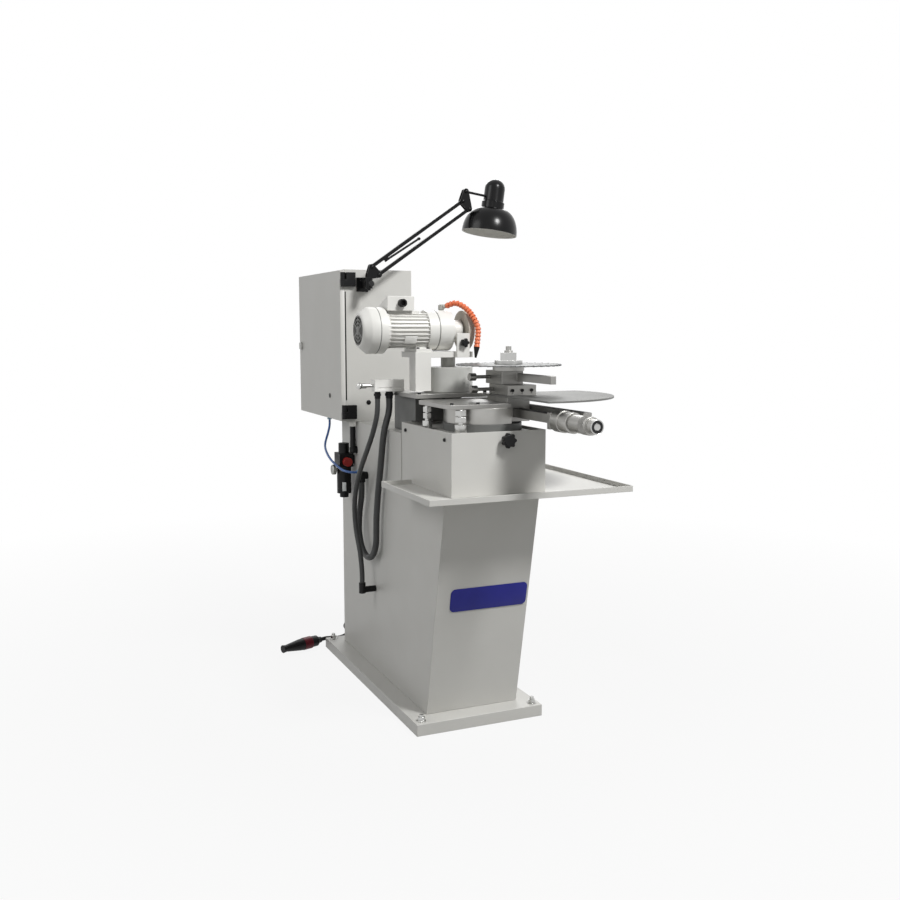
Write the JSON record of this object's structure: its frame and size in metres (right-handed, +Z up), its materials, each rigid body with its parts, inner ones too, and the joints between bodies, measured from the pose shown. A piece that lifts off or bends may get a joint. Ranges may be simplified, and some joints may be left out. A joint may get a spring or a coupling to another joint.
{
  "type": "circular saw blade sharpener",
  "caption": "Floor-standing grinder for circular saw blades: column with tray, swivelling table and blade slide, turret-mounted motor head, control cabinet and swing-arm lamp.",
  "frame": {"origin": "centre of the base plinth's underside, on the floor", "axes": "+Z up; the operator stands at -Y and looks along +Y; +X to the operator's right"},
  "size_m": [0.7689, 1.6023, 1.6395],
  "materials": {
    "cabinet_grey": "light grey powder coat, semi-matte",
    "head_white": "white machine enamel, semi-gloss",
    "plate_blue": "blue enamelled plate, plain",
    "machined_steel": "ground and milled steel",
    "bright_steel": "bright plated steel",
    "dark_iron": "dark painted iron",
    "blade_steel": "ground tool steel",
    "black_plastic": "moulded black plastic",
    "lamp_black": "gloss black lacquer",
    "abrasive": "vitrified abrasive",
    "hose_orange": "moulded acetal links",
    "fitting_grey": "machined alloy",
    "hose_grey": "grey conduit sheath",
    "tube_blue": "blue polyurethane",
    "knob_red": "moulded red plastic",
    "cylinder_white": "white anodised extrusion",
    "panel_zinc": "zinc-plated mounting plate with devices",
    "cord_black": "black rubber sheath",
    "plug_red": "black and red moulded plug"
  },
  "bodies": {
    "stand": {"base_plate": "cabinet_grey", "levelling_screws": "bright_steel", "column": "cabinet_grey", "name_plate": "plate_blue", "chip_tray": "cabinet_grey", "table_box": "cabinet_grey", "turntable_base": "dark_iron", "jack_studs": "bright_steel", "head_support": "dark_iron", "head_base": "machined_steel", "cabinet_body": "cabinet_grey", "hinge_blocks": "black_plastic", "control_gear": "panel_zinc", "lamp_clamp": "lamp_black", "air_unit": "black_plastic", "air_cylinder": "cylinder_white", "hose_glands": "black_plastic", "head_hose": "hose_grey", "motor_hose": "hose_grey", "air_tube": "tube_blue", "cord_lead": "cord_black", "cord_coil": "cord_black", "cord_tail": "cord_black", "mains_plug": "plug_red"},
    "turntable": {"turntable": "machined_steel", "bed_plate": "machined_steel", "slide_rail": "machined_steel", "screw_sleeve": "machined_steel"},
    "turntable_knob": {"turntable_knob": "black_plastic"},
    "feed_screw": {"lead_screw": "machined_steel", "thimble": "machined_steel"},
    "carriage": {"saddle": "machined_steel", "guard_plate": "machined_steel", "arbor_block": "machined_steel", "index_block": "machined_steel"},
    "arbor": {"arbor": "machined_steel", "saw_blade": "blade_steel", "blade_clamp": "bright_steel"},
    "turret": {"turret": "machined_steel"},
    "head": {"head_plate": "head_white", "motor_body": "head_white", "fan_cover": "head_white", "terminal_box": "head_white", "wheel_guard": "head_white", "coolant_hose": "hose_orange", "coolant_nozzle": "fitting_grey"},
    "guard_knob": {"guard_knob": "black_plastic"},
    "spindle": {"motor_rotor": "machined_steel", "grinding_wheel": "abrasive"},
    "door": {"cabinet_door": "cabinet_grey"},
    "door_lock": {"door_lock": "bright_steel"},
    "lamp_post": {"lamp_post": "lamp_black"},
    "lamp_arm": {"lamp_arm": "lamp_black", "lamp_stay": "lamp_black"},
    "lamp_link": {"lamp_link": "lamp_black"},
    "lamp_knuckle": {"lamp_knuckle": "lamp_black"},
    "lamp_head": {"lamp_shade": "lamp_black", "lamp_socket": "lamp_black"},
    "air_knob": {"air_knob": "knob_red"},
    "piston_rod": {"piston_rod": "bright_steel"}
  },
  "joints": [
    {"name": "turntable_swivel", "type": "hinge", "parent": "stand", "child": "turntable", "pos_m": [0.02, -0.4, 0.9], "axis": [0, 0, 1], "range_deg": [-10, 10]},
    {"name": "turntable_lock", "type": "hinge", "parent": "stand", "child": "turntable_knob", "pos_m": [0.02, -0.552, 0.843], "axis": [0, 1, 0], "range_deg": [-180, 180]},
    {"name": "carriage_slide", "type": "slide", "parent": "turntable", "child": "carriage", "axis": [0, 1, 0], "range_m": [-0.18, 0.045]},
    {"name": "feed_turn", "type": "hinge", "parent": "turntable", "child": "feed_screw", "pos_m": [0.1, -0.8, 0.9043], "axis": [0, 1, 0], "range_deg": [-6600, 2300]},
    {"name": "arbor_spin", "type": "hinge", "parent": "carriage", "child": "arbor", "pos_m": [0.1, -0.405, 1], "axis": [0, 0, 1], "continuous": true},
    {"name": "turret_swivel", "type": "hinge", "parent": "stand", "child": "turret", "pos_m": [0.028, -0.14, 0.99], "axis": [0, 0, 1], "range_deg": [-12, 12]},
    {"name": "head_lift", "type": "slide", "parent": "turret", "child": "head", "axis": [0, 0, 1], "range_m": [-0.004, 0.01]},
    {"name": "spindle_spin", "type": "hinge", "parent": "head", "child": "spindle", "pos_m": [0, -0.145, 1.1363], "axis": [1, 0, 0], "continuous": true},
    {"name": "guard_clamp", "type": "hinge", "parent": "head", "child": "guard_knob", "pos_m": [0.046, -0.216, 1.1003], "axis": [0, 1, 0], "range_deg": [-180, 180]},
    {"name": "door_hinge", "type": "hinge", "parent": "stand", "child": "door", "pos_m": [-0.192, 0.212, 1.084], "axis": [0, 0, 1], "range_deg": [0, 110]},
    {"name": "lock_turn", "type": "hinge", "parent": "door", "child": "door_lock", "pos_m": [-0.2, 0.69, 1.078], "axis": [1, 0, 0], "range_deg": [0, 90]},
    {"name": "lamp_swivel", "type": "hinge", "parent": "stand", "child": "lamp_post", "pos_m": [-0.124, 0.15, 1.285], "axis": [0, 0, 1], "range_deg": [-90, 30]},
    {"name": "lamp_tilt", "type": "hinge", "parent": "lamp_post", "child": "lamp_arm", "pos_m": [-0.1155, 0.15, 1.339], "axis": [0, -1, 0], "range_deg": [-20, 25]},
    {"name": "lamp_link_tilt", "type": "hinge", "parent": "lamp_post", "child": "lamp_link", "pos_m": [-0.0915, 0.15, 1.3145], "axis": [0, -1, 0], "range_deg": [-21, 26]},
    {"name": "lamp_level", "type": "hinge", "parent": "lamp_arm", "child": "lamp_knuckle", "pos_m": [0.20475, 0.15, 1.56158], "axis": [0, -1, 0], "range_deg": [-26, 21]},
    {"name": "lamp_head_tilt", "type": "hinge", "parent": "lamp_knuckle", "child": "lamp_head", "pos_m": [0.21655, 0.15, 1.59388], "axis": [0, -1, 0], "range_deg": [-2, 35]},
    {"name": "air_knob_turn", "type": "hinge", "parent": "stand", "child": "air_knob", "pos_m": [-0.176, 0.236, 0.698], "axis": [0, 1, 0], "range_deg": [-150, 150]},
    {"name": "rod_slide", "type": "slide", "parent": "stand", "child": "piston_rod", "axis": [1, 0, 0], "range_m": [-0.03, 0.015]}
  ],
  "couplings": [
    {"joint": "feed_turn", "follows": "carriage_slide", "rad_per_m": 628.32},
    {"joint": "lamp_link_tilt", "follows": "lamp_tilt", "ratio": 1},
    {"joint": "lamp_level", "follows": "lamp_tilt", "ratio": -1}
  ]
}
